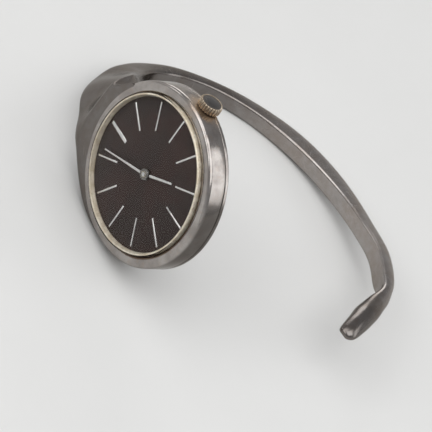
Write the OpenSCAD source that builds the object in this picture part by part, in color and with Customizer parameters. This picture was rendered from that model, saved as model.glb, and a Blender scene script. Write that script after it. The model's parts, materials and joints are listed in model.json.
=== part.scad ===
// Bangle wristwatch with a round hand wound movement.
// Watch axes: x toward the crown, y toward twelve, z out of the dial, dial face at z 0.
// The watch is laid on its nine side the way it comes to rest, with +Z up,
// and its origin is the middle of the flat outside face of the case back.

/* [Case] */
// Radius of the case middle
case_r = 13; // [12.6:0.1:15]
// Height of the top ring of the case above the dial
shoulder_z = 0.3; // [0.2:0.05:0.6]
// Radius of the rounded upper corner of the case
corner_r = 0.6; // [0.2:0.05:0.8]
// Depth of the case middle below the dial
middle_depth = 3.3; // [3.25:0.05:3.6]
// Depth of the whole case below the dial
back_depth = 4.65; // [4.6:0.05:5.5]
// Thickness of the case back plate
back_t = 0.4; // [0.3:0.05:0.45]
// Width of the bevel round the flat of the case back
back_bevel = 3; // [2.5:0.1:4]
// Height of the groove over the lower lip
groove_h = 0.1; // [0.05:0.01:0.15]
// Depth of the groove over the lower lip
groove_in = 0.12; // [0.05:0.01:0.2]
// Height of the lower lip
lip_h = 0.55; // [0.4:0.05:0.7]
// Wall of the case middle around its bore
case_wall = 1.85; // [1.7:0.05:2.1]

/* [Crystal] */
// How far the crystal stands over the edge of the bore
crystal_lap = 0.19; // [0.15:0.01:0.3]
// Thickness of the crystal's wall
crystal_wall = 0.14; // [0.1:0.01:0.2]
// Width of the tension ring
ring_w = 0.45; // [0.3:0.05:0.6]
// Height of the tension ring
ring_h = 0.8; // [0.6:0.05:0.9]
// Height of the crystal in its middle
crystal_top = 2.1; // [1.9:0.05:2.6]
// Thickness of the crystal in its middle
crystal_t = 0.5; // [0.4:0.05:0.95]

/* [Dial] */
// Gap between dial and bore
dial_gap = 0.05; // [0.03:0.01:0.08]
// Thickness of the dial
dial_t = 0.4; // [0.3:0.05:0.4]
// Length of the hour markers
marker_len = 4.1; // [2:0.1:5]
// From the outer ends of the hour markers to the edge of the dial
marker_edge = 0.8; // [0.6:0.05:1.5]
// Width of one hour marker
marker_w = 0.28; // [0.2:0.02:0.5]
// Width of the marker at twelve
marker_12_w = 0.56; // [0.3:0.02:0.9]
// Height of the hour markers
marker_h = 0.12; // [0.08:0.01:0.2]

/* [Hands] */
// Minutes past twelve that the hands show
time_shown = 296.3; // [0:0.1:720]
// From the tip of the minute hand to the edge of the dial
minute_edge = 2.15; // [1:0.05:4]
// How much shorter the hour hand is
hour_short = 3.35; // [2:0.05:4]
// Radius of the round hub of both hands
hand_hub_r = 0.8; // [0.75:0.01:1]
// Thickness of both hands
hand_t = 0.14; // [0.08:0.01:0.15]
// Height of the hour hand's underside above the dial
hour_hand_z = 0.18; // [0.15:0.01:0.3]
// Height of the minute hand's underside above the dial
minute_hand_z = 0.4; // [0.38:0.01:0.6]

/* [Crown] */
// Radius of the crown
crown_r = 1.7; // [1.5:0.05:2]
// Thickness of the crown
crown_t = 1.25; // [1.1:0.05:1.6]
// Number of flutes around the crown
crown_flutes = 24; // [16:1:30]
// Radius of one flute
flute_r = 0.2; // [0.15:0.01:0.22]
// Distance of the flutes' middles outside the crown
flute_out = 0.06; // [0.04:0.01:0.1]
// Gap between case wall and crown
crown_gap = 0.1; // [0.06:0.01:0.2]
// Height of the stem line below the dial
stem_depth = 2.5; // [2.45:0.05:2.55]
// Radius of the winding stem
stem_r = 0.35; // [0.3:0.01:0.36]
// Outer radius of the crown tube
tube_r = 0.6; // [0.55:0.01:0.62]
// Travel of the crown when it is pulled out
pull = 0.9; // [0.5:0.1:1.2]

/* [Bangle] */
// Half width of the wrist opening
wrist_a = 26.3; // [24:0.1:30]
// Half depth of the wrist opening
wrist_b = 19.2; // [18:0.1:23]
// Depth of the opening's near side below the dial
wrist_top = 3.5; // [3.4:0.05:4]
// Thickness of the band against its measured thickness
band_scale = 1; // [0.85:0.01:1.15]

/* [Movement] */
// Radius of the movement
move_r = 8.75; // [8.7:0.05:8.8]
// Radius of the balance wheel
balance_r = 2.3; // [2:0.05:2.4]
// Pitch radius of the barrel teeth
barrel_r = 3.6; // [3.58:0.01:3.6]

/* [Clearances] */
// Running clearance of pivots
pivot_fit = 0.02; // [0.015:0.005:0.03]
// Running clearance of tubes and sleeves
sleeve_fit = 0.03; // [0.02:0.005:0.05]
// Axial shake of wheels
shake = 0.04; // [0.02:0.01:0.06]

/* [Placing] */
// Tilt that lays case and band on the table
rest_tilt = 7.5; // [0:0.1:20]
// Roll about the depth of the watch at rest
rest_roll = -6.4; // [-15:0.1:15]

/* [Hidden] */
$fn = 96;
eps = 0.01;
bore_r = case_r - case_wall;
back_flat_r = case_r - back_bevel;
crystal_r = bore_r + crystal_lap;
ring_r = crystal_r - crystal_wall;
ring_in_r = ring_r - ring_w;
dial_r = bore_r - dial_gap;
marker_out = dial_r - marker_edge;
marker_in = marker_out - marker_len;
minute_len = dial_r - minute_edge;
hour_len = minute_len - hour_short;
back_z = -back_depth;
middle_z = -middle_depth;
back_in_z = back_z + back_t;
stem_z = -stem_depth;
under_dial = -dial_t;
plate_top = -1.05;
plate_z = -2;
bridge_z = -3.2;
bridge_t = 0.55;
bridge_low = bridge_z - bridge_t;
cock_z = -3.25;
wind_z = -4.02;
wind_t = 0.22;
rim_in = move_r - 0.75;
post_ring = move_r - 1.15;
foot_ring = move_r - 1.55;
ring_lip = move_r - 0.45;
ring_foot = move_r + 0.3;
crown_hollow = crown_r - 0.7;
arbor_r = 0.16;
pivot_r = 0.1;
jewel_r = 0.45;
jewel_t = 0.3;
cannon_r = 0.42;
hour_tube_r = 0.7;
hour_seat_r = 0.6;
minute_seat_r = 0.3;
centre_r = 0.22;
barrel_at = [1.9, 3.75];
third_at = [-3.17, -1.16];
fourth_at = [-2.71, -3.77];
escape_at = [-0.54, -3.58];
pallet_at = [1.15, -4.25];
balance_at = [3.9, -4.3];
minute_at = [1.41, -1.69];
crown_wheel_at = [5.13, 0];
click_at = [-1.2, 5.9];
cock_foot = [1.7, -7.3];
post_angles = [30, 100, 165, 200, 255];
snap_in = bore_r + 0.4;
snap_w = 0.4;
crown_x = case_r + crown_gap;
minute_angle = -6 * time_shown;
hour_angle = -0.5 * time_shown;

// Band stations: angle round the opening, lift of the crown side edge, its place
// along x, width of the flat, height of the dome, twist, fullness of the dome, and how
// far the lower edge of the flat leans in.
stations = [
    [-12, 3.8, 3.5, 2.8, case_r + 1.9, 90, 3.6, 0],
    [0, 3.3, 3.5, 2.8, case_r + 3.8, 90, 3.6, 0],
    [12, 3.8, 3.5, 2.8, case_r + 3.4, 90, 3.6, 0],
    [20, 4.7, 3.5, 2.9, case_r + 1.7, 90, 3.6, 0],
    [28, 5.9, 3.4, 3, case_r - 1.2, 88, 3.4, 0],
    [38, 2.2, 3, 3, 10.6, 68, 3, 1.4],
    [46, 1.1, 1.2, 3, 8.6, 52, 2.7, -0.5],
    [58, -0.1, -1.1, 2.9, 6.9, 38, 2.5, -1.3],
    [66, -0.3, -2.2, 2.8, 4.9, 22, 2.4, -1.3],
    [72, -0.4, -2.9, 2.6, 3.8, 12, 2.4, -0.9],
    [84, -0.1, -3.9, 2.5, 2.9, 5, 2.4, -0.3],
    [96, 0, -4.4, 2.4, 2.8, 0, 2.4, 0],
    [112, 0, -4.35, 2.5, 2.8, 0, 2.4, 0],
    [130, 0, -4.2, 2.7, 3, -7, 2.4, 0],
    [150, 0, -4, 3, 3.4, -14, 2.5, 0],
    [168, 0, -3.6, 3, 3.4, -10, 2.5, 0],
    [188, 0, -2.9, 2.9, 2.9, 0, 2.4, 0],
    [202, 0, -2.3, 3.1, 2.7, 0, 2.3, 0],
    [214, -0.3, -2.4, 3.4, 2.5, -4, 2.3, 0],
    [222, -0.5, -2.7, 3.2, 1.6, -22, 2.2, 0],
    [230, -2.2, -3.7, 3.2, 1.8, -54, 2.1, 0],
    [240, -3.2, -4.5, 3.4, 2.1, -78, 2, 0],
    [250, -3.1, -4.9, 3.1, 1.9, -84, 2, 0],
    [258, -2.6, -5.2, 2.7, 1.4, -86, 2, 0],
    [262, -2, -5.2, 1.4, 0.7, -86, 2, 0]
];
last_row = len(stations) - 1;
sub_rows = 3;
dome_n = 18;

// Value between b and c on a smooth curve through a, b, c and d.
function blend(a, b, c, d, u) = b + (c - a) * u / 2
    + (a - 2.5 * b + 2 * c - d / 2) * u * u + (1.5 * (b - c) + (d - a) / 2) * u * u * u;
function row_at(i) = stations[max(0, min(last_row, i))];
function row_between(i, u) = [for (k = [0:7])
    blend(row_at(i - 1)[k], row_at(i)[k], row_at(i + 1)[k], row_at(i + 2)[k], u)];
rows = concat([for (i = [0:last_row - 1]) for (s = [0:sub_rows - 1]) row_between(i, s / sub_rows)],
    [stations[last_row]]);
function unit(v) = v / norm(v);
function oval(a) = [0, wrist_a * sin(a), -wrist_top - wrist_b + wrist_b * cos(a)];
function outward(a) = unit([0, sin(a) / wrist_a, cos(a) / wrist_b]);
function edge_dir(r) = cos(r[5]) * [1, 0, 0] + sin(r[5]) * outward(r[0]);
function dome_dir(r) = cos(r[5]) * outward(r[0]) - sin(r[5]) * [1, 0, 0];
function edge_pt(r) = oval(r[0]) + [r[2], 0, 0] + r[1] * outward(r[0]);
function mid_pt(r) = edge_pt(r) - edge_dir(r) * r[3] / 2;
function power(v, p) = sign(v) * pow(abs(v), 2 / p);
function section_pt(r, a) = mid_pt(r) + power(cos(a), r[6]) * r[3] / 2 * edge_dir(r)
    + (power(sin(a), r[6]) * r[4] * band_scale
       + r[7] * (1 - power(cos(a), r[6])) / 2 * (1 - power(sin(a), r[6]))) * dome_dir(r);
band_pts = [for (r = rows) for (j = [0:dome_n]) section_pt(r, 180 * j / dome_n)];
ring_n = dome_n + 1;
function at(i, j) = i * ring_n + j % ring_n;
band_faces = concat(
    [for (i = [0:len(rows) - 2]) for (j = [0:ring_n - 1]) [at(i, j), at(i, j + 1), at(i + 1, j + 1)]],
    [for (i = [0:len(rows) - 2]) for (j = [0:ring_n - 1]) [at(i, j), at(i + 1, j + 1), at(i + 1, j)]],
    [for (j = [1:ring_n - 2]) [at(0, 0), at(0, j + 1), at(0, j)]],
    [for (j = [1:ring_n - 2]) [at(len(rows) - 1, 0), at(len(rows) - 1, j), at(len(rows) - 1, j + 1)]]);

// Tooth outline of a wheel with n teeth on pitch radius r, one tooth at angle ph.
function gear_pts(n, r, ph) = [for (i = [0:n - 1]) for (k = [0:3])
    let (a = 360 / n * (i + [-0.3, -0.12, 0.12, 0.3][k]) + ph,
         q = (k == 0 || k == 3) ? r - 2.2 * r / n : r + 1.7 * r / n)
    [q * cos(a), q * sin(a)]];
// Outline of a flat spiral of n steps from radius a to radius b, w thick.
function spiral_pts(a, b, turns, n, w) = concat(
    [for (i = [0:n]) (a + (b - a) * i / n + w / 2) * [cos(360 * turns * i / n), sin(360 * turns * i / n)]],
    [for (i = [n:-1:0]) (a + (b - a) * i / n - w / 2) * [cos(360 * turns * i / n), sin(360 * turns * i / n)]]);
// Direction of b as seen from a.
function aim(a, b) = atan2(b[1] - a[1], b[0] - a[0]);

// Lays the watch on its nine side with the case back's middle at the origin.
module place() {
    rotate([-rest_tilt, 0, 0])
        rotate([0, rest_roll, 0])
            rotate([0, -90, 90])
                translate([0, 0, -back_z])
                    children();
}

// Cylinder between two heights at a place in the plane of the dial.
module rod(at, r, z0, z1) {
    translate([at[0], at[1], z0])
        cylinder(r = r, h = z1 - z0);
}

// Cylinder along x on the stem line.
module stem_rod(r, x0, x1) {
    translate([x0, 0, stem_z])
        rotate([0, 90, 0])
            cylinder(r = r, h = x1 - x0);
}

// Ring of square section.
module band_ring(r0, r1, z0, z1) {
    difference() {
        rod([0, 0], r1, z0, z1);
        rod([0, 0], r0, z0 - 1, z1 + 1);
    }
}

module gear(at, n, r, z0, z1, ph) {
    translate([at[0], at[1], z0])
        linear_extrude(z1 - z0)
            polygon(gear_pts(n, r, ph));
}

// Windows that leave k spokes in a wheel.
module windows(at, r0, r1, z0, z1, k) {
    for (i = [0:k - 1])
        translate([at[0], at[1], z0 - 0.5])
            rotate([0, 0, i * 360 / k])
                rotate_extrude(angle = 360 / k - 24)
                    translate([r0, 0])
                        square([r1 - r0, z1 - z0 + 1]);
}

// Arbor with a pivot at each end.
module arbor(at, top_z, low_z) {
    rod(at, arbor_r, low_z + shake, top_z - shake);
    rod(at, pivot_r, low_z - 0.25, top_z + 0.25);
}

// Flat bar from one point toward another.
module bar(from, to, w, z0, z1) {
    translate([from[0], from[1], z0])
        rotate([0, 0, aim(from, to)])
            translate([0, -w / 2, 0])
                cube([norm(to - from), w, z1 - z0]);
}

// Open ended band, cut to the case wall where it is soldered on.
module bangle() {
    color("silver")
        place()
            difference() {
                polyhedron(points = band_pts, faces = band_faces, convexity = 6);
                rod([0, 0], case_r, -8, 4);
            }
}

module case_middle() {
    color("silver")
        place()
            difference() {
                rotate_extrude()
                    union() {
                        translate([bore_r, middle_z])
                            square([case_r - bore_r, lip_h]);
                        translate([bore_r, middle_z + lip_h - eps])
                            square([case_r - groove_in - bore_r, groove_h + 2 * eps]);
                        translate([bore_r, middle_z + lip_h + groove_h])
                            square([case_r - bore_r, shoulder_z - corner_r - middle_z - lip_h - groove_h]);
                        translate([bore_r, shoulder_z - corner_r - eps])
                            square([case_r - corner_r - bore_r, corner_r + eps]);
                        translate([case_r - corner_r, shoulder_z - corner_r])
                            circle(corner_r);
                    }
                rod([0, 0], crystal_r + 0.01, 0, 2);
                band_ring(snap_in - 0.05, snap_in + snap_w + 0.05, middle_z - 1, middle_z + 0.18);
                stem_rod(tube_r, bore_r - 1, case_r + 2);
            }
}

module case_back() {
    color("silver")
        place()
            difference() {
                union() {
                    rod([0, 0], case_r - 0.4, middle_z - 0.15, middle_z);
                    translate([0, 0, back_z])
                        cylinder(r1 = back_flat_r, r2 = case_r - 0.6, h = middle_z - 0.15 - back_z);
                    band_ring(snap_in, snap_in + snap_w, middle_z - 0.1, middle_z + 0.1);
                }
                translate([0, 0, back_in_z])
                    cylinder(r1 = back_flat_r + 0.4, r2 = bore_r - 0.05, h = middle_z - 0.15 - back_in_z);
                rod([0, 0], bore_r - 0.05, middle_z - 0.15 - eps, 1);
                translate([-case_r, -1.5, middle_z - 0.12])
                    cube([0.9, 3, 0.12 + eps]);
            }
}

module back_gasket() {
    color("dimgray")
        place()
            band_ring(snap_in, snap_in + snap_w, middle_z + 0.1, middle_z + 0.18);
}

// Domed crystal with a short wall that stands in the case.
module crystal() {
    dome_r = (ring_r * ring_r + pow(crystal_top - 0.95, 2)) / (2 * (crystal_top - 0.95));
    under_r = (ring_in_r * ring_in_r + pow(crystal_top - crystal_t - ring_h, 2))
        / (2 * (crystal_top - crystal_t - ring_h));
    color("white", 0.35)
        place()
            difference() {
                intersection() {
                    rod([0, 0], crystal_r, 0, crystal_top);
                    translate([0, 0, crystal_top - dome_r])
                        sphere(dome_r, $fn = 360);
                }
                rod([0, 0], ring_r, -1, ring_h);
                intersection() {
                    rod([0, 0], ring_in_r, 0, crystal_top);
                    translate([0, 0, crystal_top - crystal_t - under_r])
                        sphere(under_r, $fn = 360);
                }
            }
}

module tension_ring() {
    color("goldenrod")
        place()
            band_ring(ring_in_r, ring_r, 0, ring_h);
}

module crown() {
    color("silver")
        place()
            difference() {
                stem_rod(crown_r, crown_x, crown_x + crown_t);
                stem_rod(crown_hollow, crown_x - 1, crown_x + 0.65);
                stem_rod(stem_r, crown_x, crown_x + 0.85);
                for (i = [0:crown_flutes - 1])
                    translate([crown_x - 0.1, 0, stem_z])
                        rotate([i * 360 / crown_flutes, 0, 0])
                            translate([0, 0, crown_r + flute_out])
                                rotate([0, 90, 0])
                                    cylinder(r = flute_r, h = crown_t + 0.2, $fn = 24);
            }
}

module crown_gasket() {
    color("dimgray")
        place()
            difference() {
                stem_rod(crown_hollow, crown_x + 0.05, crown_x + 0.35);
                stem_rod(tube_r + pivot_fit, crown_x - 1, crown_x + 1);
            }
}

module crown_tube() {
    color("silver")
        place()
            difference() {
                intersection() {
                    stem_rod(tube_r, bore_r - 1, case_r + 0.55);
                    band_ring(bore_r + 0.3, case_r + 7, -9, 3);
                }
                stem_rod(stem_r + sleeve_fit, bore_r - 2, case_r + 2);
            }
}

module dial() {
    color("black")
        place()
            difference() {
                union() {
                    rod([0, 0], dial_r, under_dial, 0);
                    for (a = [40, 215])
                        rod(foot_ring * [cos(a), sin(a)], 0.35, -1.8, under_dial);
                }
                rod([0, 0], hour_tube_r + 0.1, -1, 1);
            }
}

module hour_markers() {
    color("gainsboro")
        place()
            for (i = [0:11])
                rotate([0, 0, -30 * i])
                    translate([-(i == 0 ? marker_12_w : marker_w) / 2, marker_in, 0])
                        cube([i == 0 ? marker_12_w : marker_w, marker_out - marker_in, marker_h]);
}

// Tapered hand of length len, w0 wide at the hub and w1 wide at the tip.
module hand(len, w0, w1, z0, bore) {
    difference() {
        translate([0, 0, z0])
            linear_extrude(hand_t)
                union() {
                    polygon([[-w0 / 2, 0], [w0 / 2, 0], [w1 / 2, len], [-w1 / 2, len]]);
                    circle(hand_hub_r);
                }
        rod([0, 0], bore, -3, 3);
    }
}

module hour_hand() {
    color("gainsboro")
        place()
            rotate([0, 0, hour_angle])
                hand(hour_len, 0.42, 0.3, hour_hand_z, hour_seat_r);
}

module minute_hand() {
    color("gainsboro")
        place()
            rotate([0, 0, minute_angle])
                hand(minute_len, 0.4, 0.22, minute_hand_z, minute_seat_r);
}

module hour_wheel() {
    color("gold")
        place()
            difference() {
                union() {
                    gear([0, 0], 40, 1.76, -0.78, -0.55, aim([0, 0], minute_at) + 4.5);
                    rod([0, 0], hour_tube_r, -0.78, hour_hand_z);
                    rod([0, 0], hour_seat_r, 0, hour_hand_z + hand_t);
                }
                rod([0, 0], cannon_r + sleeve_fit, -2, 2);
            }
}

module cannon_pinion() {
    color("silver")
        place()
            difference() {
                union() {
                    gear([0, 0], 12, 0.55, -1, -0.8, aim([0, 0], minute_at));
                    rod([0, 0], cannon_r, -1.02, minute_hand_z);
                    rod([0, 0], minute_seat_r, 0, minute_hand_z + hand_t + 0.04);
                }
                rod([0, 0], centre_r + pivot_fit, -2, minute_hand_z + 0.04);
            }
}

module minute_wheel() {
    color("gold")
        place()
            difference() {
                union() {
                    gear(minute_at, 36, 1.65, -1, -0.8, aim(minute_at, [0, 0]) + 5);
                    gear(minute_at, 10, 0.44, -0.78 - 2 * eps, -0.55, aim(minute_at, [0, 0]));
                    rod(minute_at, 0.3, -1, -0.55);
                }
                rod(minute_at, 0.15 + sleeve_fit, -2, 0);
            }
}

module movement_ring() {
    color("lightgray")
        place()
            difference() {
                union() {
                    band_ring(move_r + 0.05, bore_r - 0.1, middle_z, under_dial);
                    band_ring(move_r + 0.05, ring_foot, bridge_low - eps, middle_z + eps);
                    band_ring(ring_lip, ring_foot, back_in_z, bridge_low);
                }
                stem_rod(tube_r, move_r - 1, bore_r + 1);
            }
}

module main_plate() {
    color("silver")
        place()
            difference() {
                union() {
                    rod([0, 0], move_r, plate_z, plate_top);
                    band_ring(move_r - 0.55, move_r, plate_top, under_dial);
                    difference() {
                        band_ring(rim_in, move_r, bridge_z, plate_z);
                        translate([0, 0, bridge_z - 1])
                            rotate([0, 0, -75])
                                rotate_extrude(angle = 55)
                                    square([move_r + 1, plate_z - bridge_z + 1]);
                    }
                    for (a = post_angles)
                        rod(post_ring * [cos(a), sin(a)], 0.7, bridge_z, plate_z);
                    rod(cock_foot, 0.9, cock_z, plate_z);
                    rod(minute_at, 0.15, plate_top, -0.5);
                }
                rod([0, 0], centre_r + sleeve_fit, -3, 0);
                rod(barrel_at, 0.3 + sleeve_fit, -3, -1.7);
                for (p = [third_at, fourth_at, escape_at, pallet_at, balance_at])
                    rod(p, jewel_r, -3, plate_z + jewel_t);
                for (a = [40, 215])
                    rod(foot_ring * [cos(a), sin(a)], 0.35, -1.8, 0);
                for (a = post_angles)
                    rod(post_ring * [cos(a), sin(a)], 0.3, bridge_z - 1, -2.4);
                rod(cock_foot, 0.3, bridge_z - 1, -2.4);
                translate([6.8, -1.45, -4])
                    cube([1.1, 2.9, 2.85]);
                translate([4.6, -0.75, -3])
                    cube([2.3, 1.5, 1.2]);
                stem_rod(stem_r + sleeve_fit, 4, 9);
            }
}

module barrel_bridge() {
    color("silver")
        place()
            difference() {
                intersection() {
                    rod([0, 0], move_r - 0.05, bridge_low, bridge_z);
                    union() {
                        translate([-move_r - 1, 0.55, -5])
                            cube([2 * move_r + 2, move_r + 1, 3]);
                        translate([2.2, -1, -5])
                            cube([move_r, 3, 3]);
                    }
                }
                rod(barrel_at, 0.4 + sleeve_fit, -5, -2);
                rod(crown_wheel_at, 0.3, -5, -3.4);
                rod(click_at, 0.2, -5, -3.4);
                for (a = [30, 100, 165])
                    rod(post_ring * [cos(a), sin(a)], 0.3, -5, -2);
                translate([6.8, -1.45, -5])
                    cube([1.1, 2.9, 3]);
            }
}

module train_bridge() {
    color("silver")
        place()
            difference() {
                intersection() {
                    rod([0, 0], move_r - 0.05, bridge_low, bridge_z);
                    translate([-move_r - 1, -move_r - 1, -5])
                        cube([move_r + 2.75, move_r + 1.45, 3]);
                }
                rod([0, 0], 0.15 + sleeve_fit, -5, -2);
                for (p = [third_at, fourth_at, escape_at, pallet_at])
                    rod(p, jewel_r, bridge_z - jewel_t, -2);
                rod(cock_foot, 1.15, -5, -2);
                for (a = [200, 255])
                    rod(post_ring * [cos(a), sin(a)], 0.3, -5, -2);
            }
}

module balance_cock() {
    color("silver")
        place()
            difference() {
                union() {
                    rod(balance_at, 1.3, bridge_low, cock_z);
                    bar(balance_at, cock_foot, 1.46, bridge_low, cock_z);
                    rod(cock_foot, 0.95, bridge_low, cock_z);
                    rod(balance_at + [-1.12, 0.2], 0.1, cock_z - 0.2, -3.1);
                }
                rod(balance_at, jewel_r, cock_z - jewel_t, -2);
                rod(cock_foot, 0.3, -5, -2);
            }
}

// One slotted screw with its head under a bridge.
module screw(at, head, body, z, tip) {
    difference() {
        union() {
            rod(at, head, z - 0.2, z);
            rod(at, body, z - eps, tip);
        }
        translate([at[0] - head, at[1] - 0.06, z - 0.3])
            cube([2 * head, 0.12, 0.2]);
    }
}

module bridge_screws() {
    color("steelblue")
        place() {
            for (a = post_angles)
                screw(post_ring * [cos(a), sin(a)], 0.5, 0.3, bridge_low, -2.5);
            screw(cock_foot, 0.5, 0.3, bridge_low, -2.5);
        }
}

// Ruby bearing ring.
module jewel(at, z0) {
    difference() {
        rod(at, jewel_r, z0, z0 + jewel_t);
        rod(at, pivot_r + pivot_fit, z0 - 1, z0 + 1);
    }
}

module jewels() {
    color("crimson")
        place() {
            for (p = [third_at, fourth_at, escape_at, pallet_at, balance_at])
                jewel(p, plate_z);
            for (p = [third_at, fourth_at, escape_at, pallet_at])
                jewel(p, bridge_z - jewel_t);
            jewel(balance_at, cock_z - jewel_t);
        }
}

module centre_wheel() {
    color("gold")
        place()
            union() {
                difference() {
                    gear([0, 0], 64, 3, -2.22, -2.1, aim([0, 0], third_at));
                    windows([0, 0], 0.9, 2.5, -2.22, -2.1, 4);
                }
                gear([0, 0], 12, 0.6, -3.05, -2.2, aim([0, 0], barrel_at) + 15);
                rod([0, 0], centre_r, -3.1, minute_hand_z);
                rod([0, 0], 0.15, bridge_low + 0.05, -3);
            }
}

module barrel() {
    color("gold")
        place()
            difference() {
                union() {
                    gear(barrel_at, 72, barrel_r, -2.6, -2.35, aim(barrel_at, [0, 0]));
                    rod(barrel_at, 3.3, -3.1, -2.35);
                }
                rod(barrel_at, 3.1, -2.98, -2.45);
                rod(barrel_at, 0.45 + sleeve_fit, -4, -2);
            }
}

module mainspring() {
    color("slategray")
        place()
            translate([barrel_at[0], barrel_at[1], -2.92])
                linear_extrude(0.42)
                    polygon(spiral_pts(0.62, 3.06, 6, 132, 0.08));
}

module barrel_arbor() {
    color("silver")
        place() {
            rod(barrel_at, 0.45, -3.16, -2.3);
            rod(barrel_at, 0.3, -2.4, -1.8);
            rod(barrel_at, 0.4, wind_z + wind_t, -3.1);
            rod(barrel_at, 0.25, wind_z, -3.7);
        }
}

module third_wheel() {
    color("gold")
        place()
            union() {
                difference() {
                    gear(third_at, 60, 2.34, -3.07, -2.95, aim(third_at, fourth_at));
                    windows(third_at, 0.6, 1.95, -3.07, -2.95, 4);
                }
                gear(third_at, 8, 0.376, -2.27, -2.05, aim(third_at, [0, 0]) + 22.5);
                arbor(third_at, plate_z, bridge_z);
            }
}

module fourth_wheel() {
    color("gold")
        place()
            union() {
                difference() {
                    gear(fourth_at, 60, 1.98, -2.82, -2.7, aim(fourth_at, escape_at));
                    windows(fourth_at, 0.5, 1.65, -2.82, -2.7, 4);
                }
                gear(fourth_at, 8, 0.312, -3.1, -2.92, aim(fourth_at, third_at) + 22.5);
                arbor(fourth_at, plate_z, bridge_z);
            }
}

module escape_wheel() {
    color("silver")
        place()
            union() {
                translate([escape_at[0], escape_at[1], -2.5])
                    linear_extrude(0.12)
                        polygon([for (i = [0:14]) for (k = [0:2])
                            let (a = 24 * i + [0, 4, 14][k], q = [1.35, 1.33, 0.98][k])
                            [q * cos(a), q * sin(a)]]);
                gear(escape_at, 6, 0.198, -2.85, -2.67, aim(escape_at, fourth_at) + 30);
                arbor(escape_at, plate_z, bridge_z);
            }
}

entry_at = escape_at + 1.5 * [cos(aim(escape_at, pallet_at) - 30), sin(aim(escape_at, pallet_at) - 30)];
exit_at = escape_at + 1.5 * [cos(aim(escape_at, pallet_at) + 30), sin(aim(escape_at, pallet_at) + 30)];

module pallet_fork() {
    color("silver")
        place()
            difference() {
                union() {
                    rod(pallet_at, 0.3, -2.5, -2.38);
                    bar(pallet_at, entry_at, 0.26, -2.5, -2.38);
                    bar(pallet_at, exit_at, 0.26, -2.5, -2.38);
                    bar(pallet_at, balance_at - [0.42, 0], 0.3, -2.5, -2.38);
                    arbor(pallet_at, plate_z, bridge_z);
                }
                translate([balance_at[0] - 0.62, balance_at[1] - 0.08, -3])
                    cube([0.5, 0.16, 1]);
            }
}

module pallet_stones() {
    color("crimson")
        place() {
            rod(entry_at, 0.09, -2.54, -2.5);
            rod(exit_at, 0.09, -2.54, -2.5);
        }
}

module balance_wheel() {
    color("gold")
        place() {
            band_at(balance_at, balance_r - 0.3, balance_r, -3, -2.7);
            bar(balance_at - [balance_r - 0.15, 0], balance_at + [balance_r - 0.15, 0], 0.3, -2.9, -2.78);
            rod(balance_at, 0.35, -2.95, -2.55);
            rod(balance_at, 0.55, -2.62, -2.54);
            rod(balance_at - [0.47, 0], 0.05, -2.6, -2.4);
            rod(balance_at, arbor_r, cock_z + shake, plate_z - shake);
            rod(balance_at, pivot_r, cock_z - 0.25, plate_z + 0.25);
        }
}

// Ring of square section at a place in the plane of the dial.
module band_at(at, r0, r1, z0, z1) {
    translate([at[0], at[1], 0])
        band_ring(r0, r1, z0, z1);
}

module hairspring() {
    color("steelblue")
        place() {
            translate([balance_at[0], balance_at[1], -3.12])
                linear_extrude(0.08)
                    polygon(spiral_pts(0.32, 1, 6, 132, 0.03));
            band_at(balance_at, arbor_r, 0.33, -3.14, -3.04);
        }
}

module ratchet_wheel() {
    color("silver")
        place()
            difference() {
                gear(barrel_at, 50, 2.75, wind_z, wind_z + wind_t, aim(barrel_at, crown_wheel_at));
                rod(barrel_at, 0.25, -5, -3);
            }
}

module crown_wheel() {
    color("silver")
        place()
            difference() {
                gear(crown_wheel_at, 40, 2.2, wind_z, wind_z + wind_t, aim(crown_wheel_at, barrel_at) + 4.5);
                rod(crown_wheel_at, 0.3 + sleeve_fit, -5, -3);
            }
}

module wheel_screws() {
    color("silver")
        place() {
            rod(crown_wheel_at, 0.3, -4.04, -3.4);
            rod(crown_wheel_at, 0.6, -4.14, -4.03);
            rod(click_at, 0.2, -4.04, -3.4);
            rod(click_at, 0.35, -4.14, -4.03);
        }
}

module click() {
    tip_at = click_at + 0.85 * unit(barrel_at - click_at);
    color("silver")
        place()
            difference() {
                union() {
                    rod(click_at, 0.45, wind_z, wind_z + wind_t);
                    bar(click_at, tip_at, 0.4, wind_z, wind_z + wind_t);
                }
                rod(click_at, 0.2 + sleeve_fit, -5, -3);
            }
}

module winding_stem() {
    color("silver")
        place()
            stem_rod(stem_r, 4.7, crown_x + 0.85);
}

module winding_pinion() {
    color("silver")
        place()
            difference() {
                translate([6.9, 0, stem_z])
                    rotate([0, 90, 0])
                        linear_extrude(0.9)
                            polygon(gear_pts(16, 1.13, 0));
                stem_rod(stem_r + sleeve_fit, 5, 9);
            }
}

module sliding_pinion() {
    color("silver")
        place()
            difference() {
                union() {
                    translate([5.2, 0, stem_z])
                        rotate([0, 90, 0])
                            linear_extrude(0.4)
                                polygon(gear_pts(12, 0.52, 0));
                    stem_rod(0.4, 5.3, 6.6);
                    stem_rod(0.6, 6.2, 6.7);
                }
                stem_rod(stem_r + sleeve_fit, 4, 8);
            }
}

bangle();
case_middle();
case_back();
back_gasket();
crystal();
tension_ring();
crown();
crown_gasket();
crown_tube();
dial();
hour_markers();
hour_hand();
minute_hand();
hour_wheel();
cannon_pinion();
minute_wheel();
movement_ring();
main_plate();
barrel_bridge();
train_bridge();
balance_cock();
bridge_screws();
jewels();
centre_wheel();
barrel();
mainspring();
barrel_arbor();
third_wheel();
fourth_wheel();
escape_wheel();
pallet_fork();
pallet_stones();
balance_wheel();
hairspring();
ratchet_wheel();
crown_wheel();
wheel_screws();
click();
winding_stem();
winding_pinion();
sliding_pinion();
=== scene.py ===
"""Bangle wristwatch: its look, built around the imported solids."""

import json
import math

import bmesh
import bpy
from mathutils import Matrix, Vector


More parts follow.
